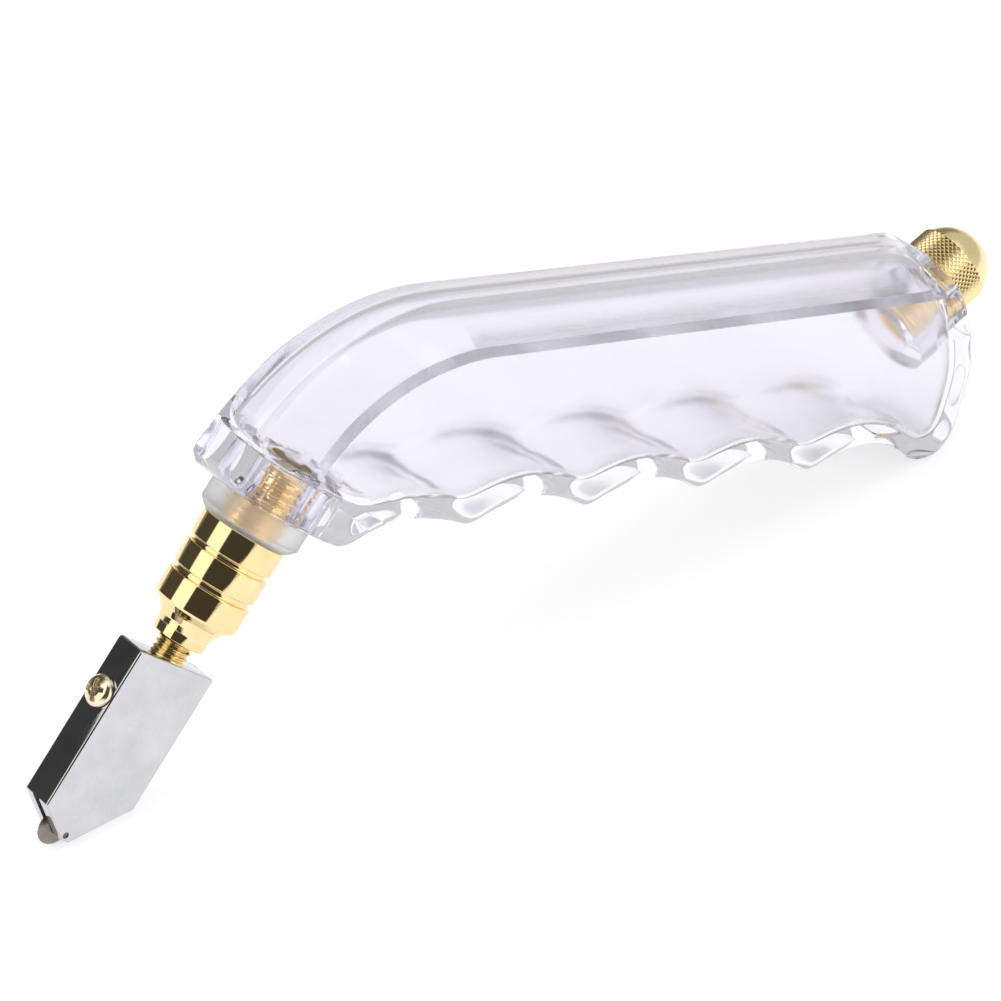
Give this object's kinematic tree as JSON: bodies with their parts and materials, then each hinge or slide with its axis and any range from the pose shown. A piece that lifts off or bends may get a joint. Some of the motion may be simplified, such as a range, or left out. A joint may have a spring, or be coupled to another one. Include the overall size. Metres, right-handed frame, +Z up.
{
  "type": "glass cutter",
  "caption": "Pistol-grip oil-feed glass cutter: clear hollow grip with finger grooves, brass barrel with sprung stem, steel head with cutting wheel, screw-in filler cap.",
  "frame": {"origin": "the point where the cutting wheel stands on the table, under its axle", "axes": "+Z up, +X from the cutting head towards the filler cap, +Y across the grip; the tool stands on its wheel and on the heel of its grip"},
  "size_m": [0.1573, 0.0196, 0.0572],
  "materials": {
    "clear_plastic": "clear, polished",
    "frosted_plastic": "frosted, translucent",
    "satin_brass": "satin",
    "seal_rubber": "matt black",
    "polished_brass": "polished",
    "plain_brass": "turned",
    "spring_steel": "drawn wire",
    "wick_cotton": "twisted cotton",
    "plated_steel": "plated, finely brushed",
    "zinc_yellow": "zinc-yellow plated",
    "pin_steel": "ground",
    "carbide": "ground tungsten carbide"
  },
  "bodies": {
    "grip": {"handle_upper": "clear_plastic", "handle_lower": "clear_plastic", "nose_bush": "frosted_plastic", "barrel": "polished_brass", "barrel_seal": "seal_rubber", "stem_wiper": "seal_rubber", "valve_seal": "seal_rubber", "valve_spring": "spring_steel", "spring_plug": "plain_brass"},
    "stem": {"stem": "plain_brass", "wick": "wick_cotton"},
    "head": {"head_block": "plated_steel", "axle_pin": "pin_steel"},
    "lock_screw": {"lock_screw": "zinc_yellow"},
    "wheel": {"cutting_wheel": "carbide"},
    "cap_seal": {"cap_seal": "seal_rubber"},
    "filler_cap": {"filler_cap": "satin_brass"}
  },
  "joints": [
    {"name": "head_press", "type": "slide", "parent": "grip", "child": "stem", "axis": [0.6895, 0, 0.7243], "range_m": [0, 0.0008], "stiffness_N_per_m": 2500, "springref_m": -0.001, "deforming": ["valve_spring"]},
    {"name": "head_swivel", "type": "hinge", "parent": "stem", "child": "head", "pos_m": [0.01317, 0, 0.01484], "axis": [0.6895, 0, 0.7243], "range_deg": [-20, 20]},
    {"name": "wheel_spin", "type": "hinge", "parent": "head", "child": "wheel", "pos_m": [0, 0, 0.0026], "axis": [0, 1, 0], "continuous": true},
    {"name": "lock_turn", "type": "hinge", "parent": "head", "child": "lock_screw", "pos_m": [0.00832, 0, 0.0196], "axis": [-0.7243, 0, 0.6895], "range_deg": [0, 180]},
    {"name": "cap_lift", "type": "slide", "parent": "grip", "child": "cap_seal", "axis": [0.9372, 0, 0.3487], "range_m": [0, 0.0076]},
    {"name": "cap_turn", "type": "hinge", "parent": "cap_seal", "child": "filler_cap", "pos_m": [0.14528, 0, 0.02173], "axis": [0.9372, 0, 0.3487], "range_deg": [0, 2088]}
  ],
  "couplings": [
    {"joint": "cap_lift", "follows": "cap_turn", "m_per_rad": 0.0002069}
  ]
}
